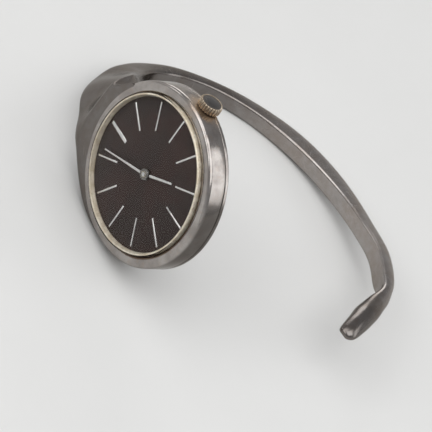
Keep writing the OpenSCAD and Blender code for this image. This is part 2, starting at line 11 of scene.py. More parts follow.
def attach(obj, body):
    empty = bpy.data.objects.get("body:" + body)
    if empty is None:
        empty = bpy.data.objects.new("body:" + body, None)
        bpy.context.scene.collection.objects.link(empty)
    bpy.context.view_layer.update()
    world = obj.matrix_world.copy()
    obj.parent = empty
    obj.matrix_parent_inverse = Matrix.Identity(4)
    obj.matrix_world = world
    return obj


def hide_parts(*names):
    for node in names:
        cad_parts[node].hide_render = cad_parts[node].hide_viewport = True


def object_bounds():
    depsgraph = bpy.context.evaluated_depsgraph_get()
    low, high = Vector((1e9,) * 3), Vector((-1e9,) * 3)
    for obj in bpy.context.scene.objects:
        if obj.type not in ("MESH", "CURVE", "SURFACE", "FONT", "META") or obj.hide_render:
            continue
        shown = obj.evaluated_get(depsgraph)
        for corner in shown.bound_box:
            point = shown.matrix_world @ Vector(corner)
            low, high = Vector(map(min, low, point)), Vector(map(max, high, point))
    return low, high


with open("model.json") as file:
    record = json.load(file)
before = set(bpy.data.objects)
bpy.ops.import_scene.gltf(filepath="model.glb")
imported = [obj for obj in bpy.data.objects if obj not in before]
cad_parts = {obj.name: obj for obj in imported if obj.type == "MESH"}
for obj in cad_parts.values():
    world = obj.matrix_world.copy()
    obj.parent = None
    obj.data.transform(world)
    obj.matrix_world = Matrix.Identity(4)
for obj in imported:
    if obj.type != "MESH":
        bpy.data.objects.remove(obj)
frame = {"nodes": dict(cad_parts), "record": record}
cad_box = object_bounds()

# ---------------------------------------------------------------- sizes, in millimetres
# Case middle: wall, lower lip and groove, and the crystal's seat in its top
CASE_R = 13.0
SHOULDER_Z = 0.3
CORNER_R = 0.6
MIDDLE_Z = -3.3
LOW_EDGE_R = 0.1
LIP_H = 0.55
LIP_EDGE_R = 0.08
GROOVE_H = 0.1
GROOVE_IN = 0.12
GROOVE_EDGE_R = 0.06
TOP_RING_R = 12.0
SEAT_R = 11.6
SEAT_EDGE_R = 0.1
SEAT_H = 0.22
SEAT_GAP = 0.01
BORE_R = 11.15

# Case back: a flat with a scored ring, a bevel and a notch to lift it by
BACK_Z = -4.65
BACK_R = 12.6
BACK_IN_R = 11.1
BACK_T = 0.4
BACK_FLAT_R = 10.0
BACK_EDGE = 0.05
BACK_INNER_STEP = 0.15
SCORE_IN = 0.8
SCORE_HALF_W = 0.1
SCORE_DEPTH = 0.04
NOTCH = (1.0, 3.0, 0.14)
NOTCH_DOWN = 0.05
# The step at the bevel's outer edge: how far in from the rim and down from its top
BACK_STEP = [(0.24, 0.17), (0.15, 0.15), (0.04, 0.14), (0.0, 0.10)]

# Crystal, and the gilt ring inside its wall
CRYSTAL_R = 11.34
CRYSTAL_TOP = 2.1
CRYSTAL_T = 0.5
CRYSTAL_EDGE_R = 0.16
DOME_FOOT_Z = 0.95
DOME_STEPS = 24
RING_R = 11.2
RING_IN_R = 10.75
RING_H = 0.8
RING_GAP = 0.005
RING_EDGE_R = 0.1
RING_IN_EDGE_R = 0.14
RING_SLOPE = 0.3
# The toe of the ring's slope: how far out from its inner edge, and the height
RING_TOE = [(0.06, 0.24), (0.0, 0.12), (0.01, 0.03)]

# Dial and its feet
DIAL_R = 11.1
DIAL_T = 0.4
DIAL_EDGE = 0.03
DIAL_MIDDLE_R = 6.0
DIAL_HOLE_R = 0.8
DIAL_HOLE_EDGE = 0.04
FOOT_R = 0.35
FOOT_L = 1.4
FOOT_SUNK = 0.05
FOOT_BEVEL = 0.06
FOOT_AT_R = 7.2
FOOT_ANGLES = (40, 215)

# Hour markers and hands. The insets of their flat tops and the height that is left at
# their long edges are shares of width and height. The time is in minutes past twelve
MARKER_IN = 6.2
MARKER_OUT = 10.3
MARKER_W = 0.28
MARKER_12_W = 0.56
MARKER_H = 0.12
MARKER_INSET = 0.28
MARKER_INSET_MOST = 0.09
BAR_EDGE_H = 0.55
BAR_BEVEL = 0.012
TIME_SHOWN = 296.3
HOUR_LEN = 5.6
HOUR_W = (0.42, 0.3)
HOUR_BORE = 0.6
HOUR_HAND_Z = 0.18
MINUTE_LEN = 8.95
MINUTE_W = (0.4, 0.22)
MINUTE_BORE = 0.3
MINUTE_HAND_Z = 0.4
HAND_T = 0.14
HAND_INSET = 0.32
HUB_R = 0.8
HUB_STEP = 0.09
HUB_EDGE_R = 0.03
HUB_BEVEL = 0.02
BOSS_R = 0.65

# Crown
CROWN_X = 13.1
CROWN_R = 1.7
CROWN_T = 1.25
CROWN_EVEN_R = 0.97 * CROWN_R
FLUTES = 24
FLUTE_R = 0.2
FLUTE_OUT = 0.06
FLUTE_POINTS = 14
STEM_Z = -2.5
# Each ring of the crown: how far along the stem, its scale, how far its flutes fade
CROWN_RINGS = [
    (0.06, 1.02, 0.0),
    (CROWN_T - 0.42, 1.0, 0.0),
    (0.09, 0.995, 0.2),
    (0.08, 0.975, 0.4),
    (0.05, 0.955, 0.7),
    (0.02, 0.96, 1.0),
    (0.0, 0.97, 0.0),
    (-0.05, 0.985, 0.0),
    (-0.02, 0.97, 0.0),
    (0.0, 0.9, 0.0),
    (0.045, 0.72, 0.0),
    (0.028, 0.5, 0.0),
    (0.012, 0.2, 0.0),
]

# Wrist opening, an oval under the case
WRIST_A = 26.3
WRIST_B = 19.2
WRIST_TOP = 3.5

# Band: angle round the opening, lift of the edge on the crown's side, that edge's place
# along x, width of the flat, height of the dome, twist, fullness of the dome, and lean of
# the flat's lower edge
STATIONS = [
    (-12, 3.8, 3.5, 2.8, CASE_R + 1.9, 90, 3.6, 0),
    (0, 3.3, 3.5, 2.8, CASE_R + 3.8, 90, 3.6, 0),
    (12, 3.8, 3.5, 2.8, CASE_R + 3.4, 90, 3.6, 0),
    (20, 4.7, 3.5, 2.9, CASE_R + 1.7, 90, 3.6, 0),
    (28, 5.9, 3.4, 3, CASE_R - 1.2, 88, 3.4, 0),
    (38, 2.2, 3, 3, 10.6, 68, 3, 1.4),
    (46, 1.1, 1.2, 3, 8.6, 52, 2.7, -0.5),
    (58, -0.1, -1.1, 2.9, 6.9, 38, 2.5, -1.3),
    (66, -0.3, -2.2, 2.8, 4.9, 22, 2.4, -1.3),
    (72, -0.4, -2.9, 2.6, 3.8, 12, 2.4, -0.9),
    (84, -0.1, -3.9, 2.5, 2.9, 5, 2.4, -0.3),
    (96, 0, -4.4, 2.4, 2.8, 0, 2.4, 0),
    (112, 0, -4.35, 2.5, 2.8, 0, 2.4, 0),
    (130, 0, -4.2, 2.7, 3, -7, 2.4, 0),
    (150, 0, -4, 3, 3.4, -14, 2.5, 0),
    (168, 0, -3.6, 3, 3.4, -10, 2.5, 0),
    (188, 0, -2.9, 2.9, 2.9, 0, 2.4, 0),
    (202, 0, -2.3, 3.1, 2.7, 0, 2.3, 0),
    (214, -0.3, -2.4, 3.4, 2.5, -4, 2.3, 0),
    (222, -0.5, -2.7, 3.2, 1.6, -22, 2.2, 0),
    (230, -2.2, -3.7, 3.2, 1.8, -54, 2.1, 0),
    (240, -3.2, -4.5, 3.4, 2.1, -78, 2, 0),
    (250, -3.1, -4.9, 3.1, 1.9, -84, 2, 0),
    (258, -2.6, -5.2, 2.7, 1.4, -86, 2, 0),
    (262, -2, -5.2, 1.4, 0.7, -86, 2, 0),
]
BAND_STEPS = 7
DOME_POINTS = 40
FLAT_POINTS = 8
EDGE_R = 0.44
EDGE_POINTS = 6

# The band's rounded tip: steps before it in the last interval, its own steps, where it
# starts and how long it is as shares of that interval, and its smallest section
NOSE_AFTER = 3
NOSE_STEPS = 7
NOSE_START = 0.5
NOSE_LEN = 0.45
NOSE_ROUND = 0.995
NOSE_LEAST = 0.12

# Where the band meets the case: a cutter with the case's wall trims it, its top rises to
# the shoulder near the wall and above a depth, and its flat flares towards the crown
CUTTER_Z = (-9.0, 5.0)
SOLDER_R = 16.4
SOLDER_FADE = 3.1
SOLDER_Z = -1.9
SOLDER_FADE_Z = 1.8
SOLDER_SUNK = 0.01
FLARE = 3.1
FLARE_Y = 14.4
FLARE_LEN = 3.0
FLARE_CURVE = 1.6
FLARE_X = 0.2
FLARE_FADE = 3.2

# Watch axes (x to the crown, y to twelve, z out of the dial) to the axes it lies in
MM = 0.001
REST_TILT = math.radians(7.5)
REST_ROLL = math.radians(-6.4)
LAY_TURN = (
    Matrix.Rotation(-REST_TILT, 4, "X")
    @ Matrix.Rotation(REST_ROLL, 4, "Y")
    @ Matrix(((0, -1, 0, 0), (0, 0, -1, 0), (1, 0, 0, 0), (0, 0, 0, 1)))
)
LAY = LAY_TURN @ Matrix.Scale(MM, 4) @ Matrix.Translation((0, 0, -BACK_Z))

# The photograph's view, in the watch's axes
VIEW_RIGHT = (0.509, -0.457, -0.7295)
VIEW_UP = (0.694, 0.719, 0.034)
VIEW_DISTANCE = 500
VIEW_ACROSS = 9.53
VIEW_DOWN = 5.71
VIEW_LENS = 302.9
VIEW_SENSOR = 36

# Soft boxes, in metres: direction from the watch, distance, size, power, and the
# direction of the size's first number
LAMPS = {
    "key_box": ((0.36, 0.0, 0.93), 0.5, (0.46, 0.46), 1.3, (0, 0, 1)),
    "top_box": ((-0.4, -0.2, 0.88), 0.5, (0.36, 0.3), 0.52, (0, 0, 1)),
    "wall_box": ((0.46, 0.72, 0.5), 0.45, (0.42, 0.17), 0.32, (0.66, 0, -0.6)),
    "left_box": ((-0.86, -0.4, 0.3), 0.5, (0.12, 0.1), 0.08, (0, 1, 0)),
    "pad_box": ((-0.85, 0.45, 0.24), 0.5, (0.2, 0.24), 0.34, (0, 1, 0)),
    "front_box": ((-0.2, -0.7, 0.66), 0.5, (0.46, 0.24), 0.66, (1, 0, 0)),
}
FLOOR_SIZE = 6

# Height of fine relief in a bump, in metres
GRAIN = 0.00001


# ---------------------------------------------------------------- modelling
def deselect():
    """Nothing is selected and no mesh is open."""
    if bpy.context.object and bpy.context.object.mode != "OBJECT":
        bpy.ops.object.mode_set(mode="OBJECT")
    bpy.ops.object.select_all(action="DESELECT")


def pick(piece):
    """Only this piece is selected, and it is the active one."""
    deselect()
    piece.select_set(True)
    bpy.context.view_layer.objects.active = piece


def open_mesh(piece):
    """The piece's mesh is open for editing, with nothing in it selected."""
    pick(piece)
    bpy.ops.object.mode_set(mode="EDIT")
    bpy.ops.mesh.select_all(action="DESELECT")
    return bmesh.from_edit_mesh(piece.data)


def close_mesh():
    """The open mesh goes back to its object."""
    bpy.ops.object.mode_set(mode="OBJECT")


def select_ring(piece, wanted):
    """In the open mesh, only the ring through the wanted corners is selected."""
    bpy.ops.mesh.select_all(action="DESELECT")
    mesh = bmesh.from_edit_mesh(piece.data)
    for v in mesh.verts:
        v.select = wanted(v)
    mesh.select_flush(True)
    bmesh.update_edit_mesh(piece.data)


def loop_of(name, points):
    """A circle primitive whose corners are set on the given points. It stays open."""
    deselect()
    bpy.ops.mesh.primitive_circle_add(vertices=len(points), radius=1)
    piece = bpy.context.object
    piece.name = name
    piece.data.name = name
    bpy.ops.object.mode_set(mode="EDIT")
    mesh = bmesh.from_edit_mesh(piece.data)
    mesh.verts.ensure_lookup_table()
    for v, p in zip(mesh.verts, points):
        v.co = p
    bmesh.update_edit_mesh(piece.data)
    bpy.ops.mesh.select_all(action="SELECT")
    return piece


def tidy_mesh(piece, merge=1e-4):
    """Doubles are merged, loose bits removed and faces pointed outwards."""
    open_mesh(piece)
    bpy.ops.mesh.select_all(action="SELECT")
    bpy.ops.mesh.remove_doubles(threshold=merge)
    bpy.ops.mesh.delete_loose()
    bpy.ops.mesh.select_all(action="SELECT")
    bpy.ops.mesh.dissolve_degenerate(threshold=1e-5)
    bpy.ops.mesh.select_all(action="SELECT")
    bpy.ops.mesh.normals_make_consistent(inside=False)
    close_mesh()


def turned(name, profile, steps=192):
    """A lathe piece: the closed profile (radius, height) is spun round the dial's axis."""
    piece = loop_of(name, [(r, 0, h) for r, h in profile])
    bpy.ops.mesh.spin(steps=steps, angle=2 * math.pi, center=(0, 0, 0), axis=(0, 0, 1))
    close_mesh()
    tidy_mesh(piece)
    return piece


def arc(cx, cy, r, a0, a1, n):
    """Points on a round corner of a profile, angles in degrees."""
    angles = [math.radians(a0 + (a1 - a0) * i / n) for i in range(n + 1)]
    return [(cx + r * math.cos(a), cy + r * math.sin(a)) for a in angles]


def dome(top, foot_r, rise, radii):
    """Points on a dome that falls by rise from its top to the radius foot_r."""
    sphere = (foot_r ** 2 + rise ** 2) / (2 * rise)
    return [(r, top - sphere + math.sqrt(sphere ** 2 - r ** 2)) for r in radii]


def modifier(piece, kind, **settings):
    """A modifier is set and applied."""
    pick(piece)
    m = piece.modifiers.new(kind.title(), kind)
    for key, value in settings.items():
        setattr(m, key, value)
    bpy.ops.object.modifier_apply(modifier=m.name)


def cut(piece, cutter):
    """The cutter is taken out of the piece, and removed."""
    modifier(piece, "BOOLEAN", object=cutter, operation="DIFFERENCE", solver="EXACT")
    bpy.data.objects.remove(cutter)


def block(location, scale):
    """A cube primitive, stretched."""
    deselect()
    bpy.ops.mesh.primitive_cube_add(size=1, location=location, scale=scale)
    bpy.ops.object.transform_apply()
    return bpy.context.object


def join(name, pieces):
    """Several meshes become one piece."""
    deselect()
    for p in pieces:
        p.select_set(True)
    bpy.context.view_layer.objects.active = pieces[0]
    bpy.ops.object.join()
    pieces[0].name = name
    pieces[0].data.name = name
    return pieces[0]


def copy_turned(piece, degrees):
    """A copy with its own mesh, turned about the middle of the dial."""
    twin = piece.copy()
    twin.data = piece.data.copy()
    bpy.context.scene.collection.objects.link(twin)
    twin.data.transform(Matrix.Rotation(math.radians(degrees), 4, "Z"))
    return twin


def lay_down(piece, body, finish, node, smooth):
    """The finished piece goes from the watch's axes to its place, and gets its finish."""
    pick(piece)
    piece.matrix_world = LAY
    bpy.ops.object.transform_apply(location=True, rotation=True, scale=True)
    bpy.ops.object.shade_smooth_by_angle(angle=math.radians(smooth))
    piece.data.materials.clear()
    piece.data.materials.append(finish)
    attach(piece, body)
    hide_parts(node)


# ---------------------------------------------------------------- materials
class Shade:
    """A socket of a node. Operators on it add Math nodes."""

    def __init__(self, tree, socket):
        self.tree = tree
        self.socket = socket

    def math(self, operation, *others):
        """A Math node on this value and the others."""
        inputs = dict(enumerate([self, *others]))
        return self.tree.node("ShaderNodeMath", {"operation": operation}, inputs)

    def __add__(self, other):
        return self.math("ADD", other)

    __radd__ = __add__

    def __mul__(self, other):
        return self.math("MULTIPLY", other)

    __rmul__ = __mul__

    def __sub__(self, other):
        return self.math("SUBTRACT", other)

    def __rsub__(self, other):
        """The other less this, as this times -1 plus the other."""
        return self.math("MULTIPLY_ADD", -1.0, other)


class Tree:
    """The nodes of a material or of the world."""

    def __init__(self, owner, output):
        owner.use_nodes = True
        self.tree = owner.node_tree
        self.tree.nodes.clear()
        self.output = self.tree.nodes.new(output)

    def node(self, kind, settings=None, inputs=None, out=0):
        """A node: its settings or a ramp's stops first, then its values and links."""
        n = self.tree.nodes.new(kind)
        for key, value in (settings or {}).items():
            if key == "stops":
                for element, (at, colour) in zip(n.color_ramp.elements, value):
                    element.position = at
                    element.color = (*colour, 1)
            else:
                setattr(n, key, value)
        for key, value in (inputs or {}).items():
            if isinstance(value, Shade):
                self.tree.links.new(value.socket, n.inputs[key])
            elif n.inputs[key].type == "RGBA":
                n.inputs[key].default_value = (*value, 1)
            else:
                n.inputs[key].default_value = value
        return Shade(self, n.outputs[out])

    def show(self, shader):
        """The shader is linked to the output."""
        self.tree.links.new(shader.socket, self.output.inputs["Surface"])


class Finish(Tree):
    """A material being made, with the place on the watch in millimetres."""

    def __init__(self, name):
        self.material = bpy.data.materials.new(name)
        super().__init__(self.material, "ShaderNodeOutputMaterial")
        self.place = self.moved(
            self.node("ShaderNodeTexCoord", out="Object"),
            (1 / MM, 1 / MM, 1 / MM),
            (0, 0, BACK_Z),
            LAY_TURN.to_3x3().transposed().to_euler("XYZ"),
        )

    def moved(self, place, scale=(1, 1, 1), shift=(0, 0, 0), turn=(0, 0, 0)):
        """A place that is scaled, turned and shifted, in this order."""
        return self.node(
            "ShaderNodeMapping",
            {"vector_type": "POINT"},
            {"Vector": place, "Location": shift, "Rotation": turn, "Scale": scale},
        )

    def axes(self):
        """The three coordinates of the place."""
        split = self.node("ShaderNodeSeparateXYZ", inputs={0: self.place})
        return [Shade(self, socket) for socket in split.socket.node.outputs]

    def noise(self, scale, detail=4.0, rough=0.55, place=None, stretch=(1, 1, 1), shift=(0, 0, 0)):
        """A cloudy value round 0.5."""
        at = self.moved(place or self.place, stretch, shift)
        return self.node(
            "ShaderNodeTexNoise",
            {"noise_dimensions": "3D"},
            {"Vector": at, "Scale": scale, "Detail": detail, "Roughness": rough},
        )

    def band(self, value, low, high):
        """0 below low, 1 above high and smooth between them."""
        return self.node(
            "ShaderNodeMapRange",
            {"interpolation_type": "SMOOTHSTEP"},
            {0: value, 1: low, 2: high, 3: 0.0, 4: 1.0},
        )

    def blend(self, share, a, b):
        """Colour a, turning to colour b where share is 1."""
        return self.node("ShaderNodeMix", {"data_type": "RGBA"}, {0: share, 6: a, 7: b}, out=2)

    def bump(self, height, strength, depth, normal=None):
        """Relief, on top of the relief of another bump where one is given."""
        inputs = {"Height": height, "Strength": strength, "Distance": depth}
        if normal:
            inputs["Normal"] = normal
        return self.node("ShaderNodeBump", {}, inputs)

    def surface(self, **inputs):
        """The Principled shader, linked to the output."""
        sockets = {key.replace("_", " "): value for key, value in inputs.items()}
        self.show(self.node("ShaderNodeBsdfPrincipled", {}, sockets))


def toned(colour, share):
    """A lighter or darker colour of the same hue."""
    return tuple(share * c for c in colour)


def distance(a, b):
    """The length of two sides at a right angle."""
    return (a * a + b * b).math("SQRT")


def scratches(finish, scale, turn, width, shift=(0, 0, 0)):
    """Fine straight scratches: 1 on a scratch and 0 off it."""
    length = 14.0
    at = finish.moved(finish.place, (1, 1, 1), shift, turn)
    at = finish.moved(at, (1.0, 1.0 / length, 1.0))
    cells = finish.node(
        "ShaderNodeTexVoronoi",
        {"feature": "DISTANCE_TO_EDGE", "voronoi_dimensions": "3D"},
        {"Vector": at, "Scale": scale},
        out="Distance",
    )
    patchy = finish.noise(0.35, 2.0, shift=shift)
    return (1 - finish.band(cells, 0.0, width)) * finish.band(patchy, 0.5, 0.62)


def make_silver():
    """The band: cloudy tarnish, fine scratches and small dents, with painted shade near the case.
    """
    clean, dull, warm = (0.40, 0.375, 0.36), (0.31, 0.287, 0.272), (0.345, 0.295, 0.26)
    painted_shade = (0.03, 0.025, 0.022)
    f = Finish("tarnished_silver")
    z = f.axes()[2]
    clouds = f.noise(0.22, 5.0, 0.6)
    patches = f.noise(0.9, 6.0, 0.62, shift=(7, 3, 1))
    specks = f.noise(7.0, 3.0, 0.5, shift=(1, 9, 4))
    fine = f.noise(26.0, 2.0, 0.5)
    tarnish = f.band(clouds * 0.6 + patches * 0.4, 0.40, 0.64)
    tint = f.blend(f.band(patches, 0.3, 0.75) * 0.7, clean, dull)
    tint = f.blend(tarnish * 0.6, tint, warm)
    tint = f.blend(f.band(specks, 0.60, 0.78) * 0.3, tint, toned(dull, 0.6))
    # Painted shade: the band is darkened near the case, fading out along the arm
    painted_shade_near_case = f.band(z + (clouds - 0.5) * 6.0, -41.0, -31.0)
    tint = f.blend(painted_shade_near_case * 0.56, tint, painted_shade)
    lines = scratches(f, 0.55, (0.3, 0.5, 0.4), 0.006)
    cross = scratches(f, 0.7, (1.1, 0.2, 1.9), 0.005, (3, 8, 2))
    marks = lines + cross
    tint = f.blend(marks * 0.25, tint, toned(clean, 1.5))
    roughness = 0.22 + (clouds - 0.5) * 0.16 + (specks - 0.5) * 0.12 + marks * 0.08
    dents = f.bump(fine * 0.3 + specks * 0.7 + patches * 1.6, 0.22, GRAIN)
    f.surface(
        Base_Color=tint,
        Metallic=1.0,
        Roughness=roughness,
        Specular_Tint=(0.62, 0.6, 0.58),
        Normal=f.bump(1 - marks, 0.18, GRAIN, dents),
    )
    return f.material


def make_case_silver():
    """The case: polished, tan round the crown, grimy at the crystal, with painted shade at six."""
    clean, dull, tan = (0.42, 0.395, 0.375), (0.30, 0.275, 0.26), (0.38, 0.31, 0.26)
    stained, grimy, painted_shade = (0.44, 0.33, 0.235), (0.11, 0.065, 0.04), (0.05, 0.043, 0.038)
    f = Finish("case_silver_worn")
    x, y, z = f.axes()
    clouds = f.noise(0.3, 5.0, 0.6)
    patches = f.noise(1.3, 6.0, 0.6, shift=(2, 5, 1))
    specks = f.noise(9.0, 3.0, 0.5, shift=(1, 9, 4))
    tint = f.blend(f.band(clouds, 0.35, 0.65), clean, dull)
    tint = f.blend(f.band(patches, 0.5, 0.7) * 0.4, tint, tan)
    from_crown = distance(y, z - STEM_Z) + (patches - 0.5) * 2.2
    stain = (1 - f.band(from_crown, CROWN_R, 3.6)) * f.band(x, 9.0, 12.0)
    tint = f.blend(stain * 0.8, tint, stained)
    to_seven = y * -0.8 - x * 0.25 + (patches - 0.5) * 6.0
    grime_r = 11.46 + f.band(to_seven, 2.0, 9.0) * 0.28
    grime = (1 - f.band(distance(x, y) - grime_r, -0.08, 0.10)) * f.band(z, -0.6, 0.1)
    tint = f.blend(grime * 0.85, tint, grimy)
    # Painted shade: the wall at six o'clock is darkened below the shoulder
    painted_shade_at_six = 1 - f.band(y + (clouds - 0.5) * 2.0, -12.8, -10.0)
    tint = f.blend(painted_shade_at_six * 0.75 * (1 - f.band(z, -0.4, 0.2)), tint, painted_shade)
    marks = scratches(f, 0.6, (0.4, 0.2, 0.9), 0.006)
    roughness = 0.16 + (clouds - 0.5) * 0.12 + (specks - 0.5) * 0.08
    roughness = roughness + stain * 0.18 + grime * 0.3
    dents = f.bump(specks * 0.5 + patches * 1.4 + clouds * 2.0, 0.22, GRAIN)
    f.surface(
        Base_Color=tint,
        Metallic=1.0,
        Roughness=roughness,
        Specular_Tint=(0.7, 0.68, 0.66),
        Normal=f.bump(1 - marks, 0.15, GRAIN, dents),
    )
    return f.material


def make_clear():
    """Clear acrylic with hairline scratches. Lamps shine through to the dial."""
    f = Finish("clear_acrylic")
    hair = scratches(f, 0.5, (0.1, 0.2, 0.5), 0.004)
    hair = hair + scratches(f, 0.6, (0.2, 0.1, 2.0), 0.003, (4, 1, 2))
    haze = f.noise(0.5, 3.0)
    glass = f.node(
        "ShaderNodeBsdfPrincipled",
        {},
        {
            "Base Color": (0.97, 0.975, 0.97),
            "Roughness": 0.02 + haze * 0.03 + hair * 0.15,
            "IOR": 1.12,
            "Transmission Weight": 1.0,
            "Normal": f.bump(1 - hair, 0.1, GRAIN),
        },
    )
    clear = f.node("ShaderNodeBsdfTransparent", {}, {"Color": (0.96, 0.96, 0.96)})
    lamp = f.node("ShaderNodeLightPath", out="Is Shadow Ray")
    f.show(f.node("ShaderNodeMixShader", {}, {0: lamp, 1: glass, 2: clear}))
    return f.material


def make_gilt():
    """The pale gilt ring: dulled, with brown patches, grime low down and painted shade towards
    twelve.
    """
    clean, dull, brown = (0.76, 0.70, 0.59), (0.60, 0.52, 0.40), (0.33, 0.245, 0.155)
    tan, grimy = (0.36, 0.29, 0.20), (0.24, 0.165, 0.10)
    f = Finish("worn_gilt")
    x, y, z = f.axes()
    clouds = f.noise(0.8, 5.0, 0.6)
    specks = f.noise(4.0, 4.0, 0.6, shift=(3, 1, 4))
    tint = f.blend(f.band(clouds, 0.38, 0.62), clean, dull)
    tint = f.blend(f.band(specks, 0.54, 0.70) * 0.6, tint, brown)
    # Painted shade: the ring turns darker and tan towards twelve
    painted_shade_to_twelve = f.band(y * 0.9 - x * 0.4, 2.0, 11.0)
    tint = f.blend(painted_shade_to_twelve * 0.45, tint, tan)
    grime = (1 - f.band(z, 0.02, 0.3)) * f.band(clouds + specks * 0.3, 0.5, 0.75)
    tint = f.blend(grime * 0.6, tint, grimy)
    f.surface(
        Base_Color=tint,
        Metallic=0.5 + (specks - 0.5) * 0.5,
        Roughness=0.34 + (clouds - 0.5) * 0.15 + grime * 0.2,
        Normal=f.bump(specks * 0.5 + clouds, 0.2, 2 * GRAIN),
    )
    return f.material


def make_dial_paint():
    """Dark brown black dial with a faint sunray and dust, and painted shade at its edge."""
    dark, brown = (0.030, 0.0220, 0.0200), (0.036, 0.0230, 0.0205)
    dusty, rim = (0.05, 0.047, 0.044), (0.026, 0.017, 0.011)
    f = Finish("dial_paint")
    x, y, _ = f.axes()
    angle = y.math("ARCTAN2", x)
    radius = distance(x, y)
    fan = f.node("ShaderNodeCombineXYZ", {}, {0: angle * 26.0, 1: radius * 0.10, 2: 0.0})
    rays = f.noise(2.2, 3.0, 0.6, place=fan)
    clouds = f.noise(0.18, 3.0, 0.5)
    dust = f.noise(2.4, 3.0, 0.6)
    tint = f.blend(f.band(clouds, 0.4, 0.6), dark, brown)
    tint = f.blend(f.band(dust, 0.70, 0.80) * 0.3, tint, dusty)
    # Painted shade: the dial darkens at its edge, beside the gilt ring
    tint = f.blend(f.band(radius, 10.2, 10.8) * 0.5, tint, rim)
    f.surface(
        Base_Color=tint,
        Metallic=0.0,
        Roughness=0.46 + (rays - 0.5) * 0.12 + (dust - 0.5) * 0.08,
        Specular_IOR_Level=0.1,
        Normal=f.bump(rays, 0.03, 0.5 * GRAIN),
    )
    return f.material


def make_crown_metal():
    """The crown: worn gilt with painted shade in its flutes and a dark grey face."""
    clean, dull, spotted = (0.62, 0.54, 0.43), (0.47, 0.38, 0.28), (0.16, 0.11, 0.075)
    grey, painted_flute_shade = (0.13, 0.125, 0.12), (0.075, 0.045, 0.028)
    end = CROWN_X + CROWN_T
    f = Finish("crown_gilt")
    x, y, z = f.axes()
    radius = distance(y, z - STEM_Z)
    clouds = f.noise(1.6, 4.0, 0.6)
    specks = f.noise(9.0, 3.0, 0.55, shift=(2, 6, 1))
    tint = f.blend(f.band(clouds, 0.38, 0.62), clean, dull)
    face = f.band(x, end - 0.24, end - 0.20) * (1 - f.band(radius, 1.38, 1.5))
    tint = f.blend(face, tint, grey)
    # Painted shade: the valleys of the flutes on the crown's side are darkened
    side = 1 - f.band(x, end - 0.30, end - 0.12)
    shaded_valley = (1 - f.band(radius, 1.575, 1.665)) * side
    tint = f.blend(shaded_valley * 0.9, tint, painted_flute_shade)
    tint = f.blend(f.band(specks, 0.58, 0.75) * 0.4, tint, spotted)
    f.surface(
        Base_Color=tint,
        Metallic=1.0 - shaded_valley * 0.6,
        Roughness=0.24 + (clouds - 0.5) * 0.12 + shaded_valley * 0.25,
        Normal=f.bump(specks * 0.6 + clouds, 0.2, GRAIN),
    )
    return f.material


def brushed(name, light, dark, rough, hub=False):
    """Metal with a straight fine grain and light wear, and a hub darkened as a painted reflection,
    with a gilt middle.
    """
    painted_hub_reflection, boss_tone = (0.15, 0.14, 0.13), (0.40, 0.355, 0.27)
    f = Finish(name)
    grain = f.noise(9.0, 3.0, 0.6, stretch=(1, 14, 1))
    clouds = f.noise(0.9, 4.0, 0.6)
    specks = f.noise(14.0, 2.0, 0.5, shift=(5, 2, 7))
    tint = f.blend(f.band(grain * 0.5 + clouds * 0.5, 0.38, 0.62), dark, light)
    tint = f.blend(f.band(specks, 0.66, 0.8) * 0.4, tint, toned(dark, 0.5))
    if hub:
        x, y, _ = f.axes()
        radius = distance(x, y)
        # Painted reflection: the hub disc is tinted dark
        tint = f.blend((1 - f.band(radius, 0.76, 0.86)) * 0.9, tint, painted_hub_reflection)
        tint = f.blend((1 - f.band(radius, 0.40, 0.50)) * 0.85, tint, boss_tone)
    f.surface(
        Base_Color=tint,
        Metallic=1.0,
        Roughness=rough + (grain - 0.5) * 0.16 + (clouds - 0.5) * 0.08,
        Normal=f.bump(grain * 0.7 + specks * 0.3, 0.2, GRAIN),
    )
    return f.material


def striped_plate():
    """Nickel plated bridges and plate: wide decorative stripes with a fine grain, and painted
    shade at each stripe's edges.
    """
    bright, dull, painted_shade = (0.66, 0.635, 0.585), (0.56, 0.535, 0.49), (0.46, 0.43, 0.38)
    f = Finish("nickel_stripes")
    x, y, z = f.axes()
    across = x * 0.80 + y * 0.60
    along = y * 0.80 - x * 0.60
    wave = (across * 1.45).math("FRACT")
    arch = wave * (1 - wave) * 4.0
    curve = f.node(
        "ShaderNodeCombineXYZ", {}, {0: across * 3.0 + arch * 0.4, 1: along * 0.3, 2: z}
    )
    grain = f.noise(12.0, 3.0, 0.6, place=curve)
    clouds = f.noise(0.7, 3.0)
    tint = f.blend(f.band(grain, 0.35, 0.65), dull, bright)
    # Painted shade: each stripe darkens towards its edges
    tint = f.blend((1 - arch) * 0.35, tint, painted_shade)
    roughness = 0.24 + (grain - 0.5) * 0.14 + (clouds - 0.5) * 0.06 + (1 - arch) * 0.05
    f.surface(
        Base_Color=tint,
        Metallic=1.0,
        Roughness=roughness,
        Normal=f.bump(arch * 0.6 + grain * 0.25, 0.25, 3 * GRAIN),
    )
    return f.material


def moulded(name, base, patch, rough):
    """Moulded plastic or rubber with a fine skin."""
    f = Finish(name)
    skin = f.noise(18.0, 3.0, 0.6)
    clouds = f.noise(1.1, 3.0, 0.5)
    f.surface(
        Base_Color=f.blend(f.band(clouds, 0.35, 0.65), base, patch),
        Metallic=0.0,
        Roughness=rough + (skin - 0.5) * 0.15,
        Normal=f.bump(skin, 0.25, GRAIN),
    )
    return f.material


def make_ruby():
    """Synthetic ruby: deep red, glossy, a little cloudy."""
    f = Finish("ruby_red")
    clouds = f.noise(3.0, 3.0, 0.5)
    f.surface(
        Base_Color=f.blend(f.band(clouds, 0.35, 0.65), (0.55, 0.02, 0.06), (0.38, 0.01, 0.04)),
        Roughness=0.08 + clouds * 0.06,
        Normal=f.bump(f.noise(20.0, 2.0), 0.1, GRAIN),
        Coat_Weight=0.6,
    )
    return f.material


